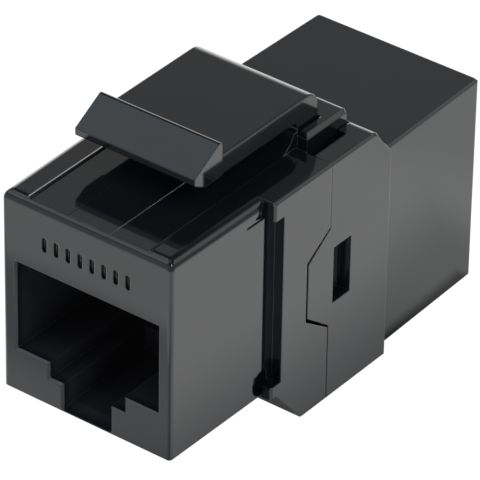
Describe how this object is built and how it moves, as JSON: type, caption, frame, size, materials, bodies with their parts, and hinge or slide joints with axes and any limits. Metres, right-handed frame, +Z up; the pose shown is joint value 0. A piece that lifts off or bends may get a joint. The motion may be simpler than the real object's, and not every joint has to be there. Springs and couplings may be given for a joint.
{
  "type": "keystone coupler",
  "caption": "Black plastic inline keystone coupler: a modular socket at each end, a wide middle flange and a sprung latch on top that clips it into a wall plate.",
  "frame": {"origin": "on the flat underside, midway between the front and back faces and between the sides", "axes": "+X to the right seen from the front, +Y from the front socket to the rear one, +Z up towards the latch"},
  "size_m": [0.0164, 0.0354, 0.0242],
  "materials": {
    "housing": "semi-gloss moulded black plastic",
    "latch": "semi-gloss moulded black plastic",
    "carrier": "matte moulded black plastic",
    "board": "green glass-fibre board with solder mask",
    "contact": "gold-plated spring wire"
  },
  "bodies": {
    "housing": {"front_housing": "housing", "rear_housing": "housing", "front_contact_carrier": "carrier", "rear_contact_carrier": "carrier", "circuit_board": "board", "front_contact_1": "contact", "front_contact_2": "contact", "front_contact_3": "contact", "front_contact_4": "contact", "front_contact_5": "contact", "front_contact_6": "contact", "front_contact_7": "contact", "front_contact_8": "contact", "rear_contact_1": "contact", "rear_contact_2": "contact", "rear_contact_3": "contact", "rear_contact_4": "contact", "rear_contact_5": "contact", "rear_contact_6": "contact", "rear_contact_7": "contact", "rear_contact_8": "contact"},
    "latch": {"latch_arm": "latch"}
  },
  "joints": [
    {"name": "latch_press", "type": "hinge", "parent": "housing", "child": "latch", "pos_m": [0, 0.00018, 0.0205], "axis": [1, 0, 0], "range_deg": [0, 9], "stiffness_Nm_per_rad": 0.3}
  ]
}
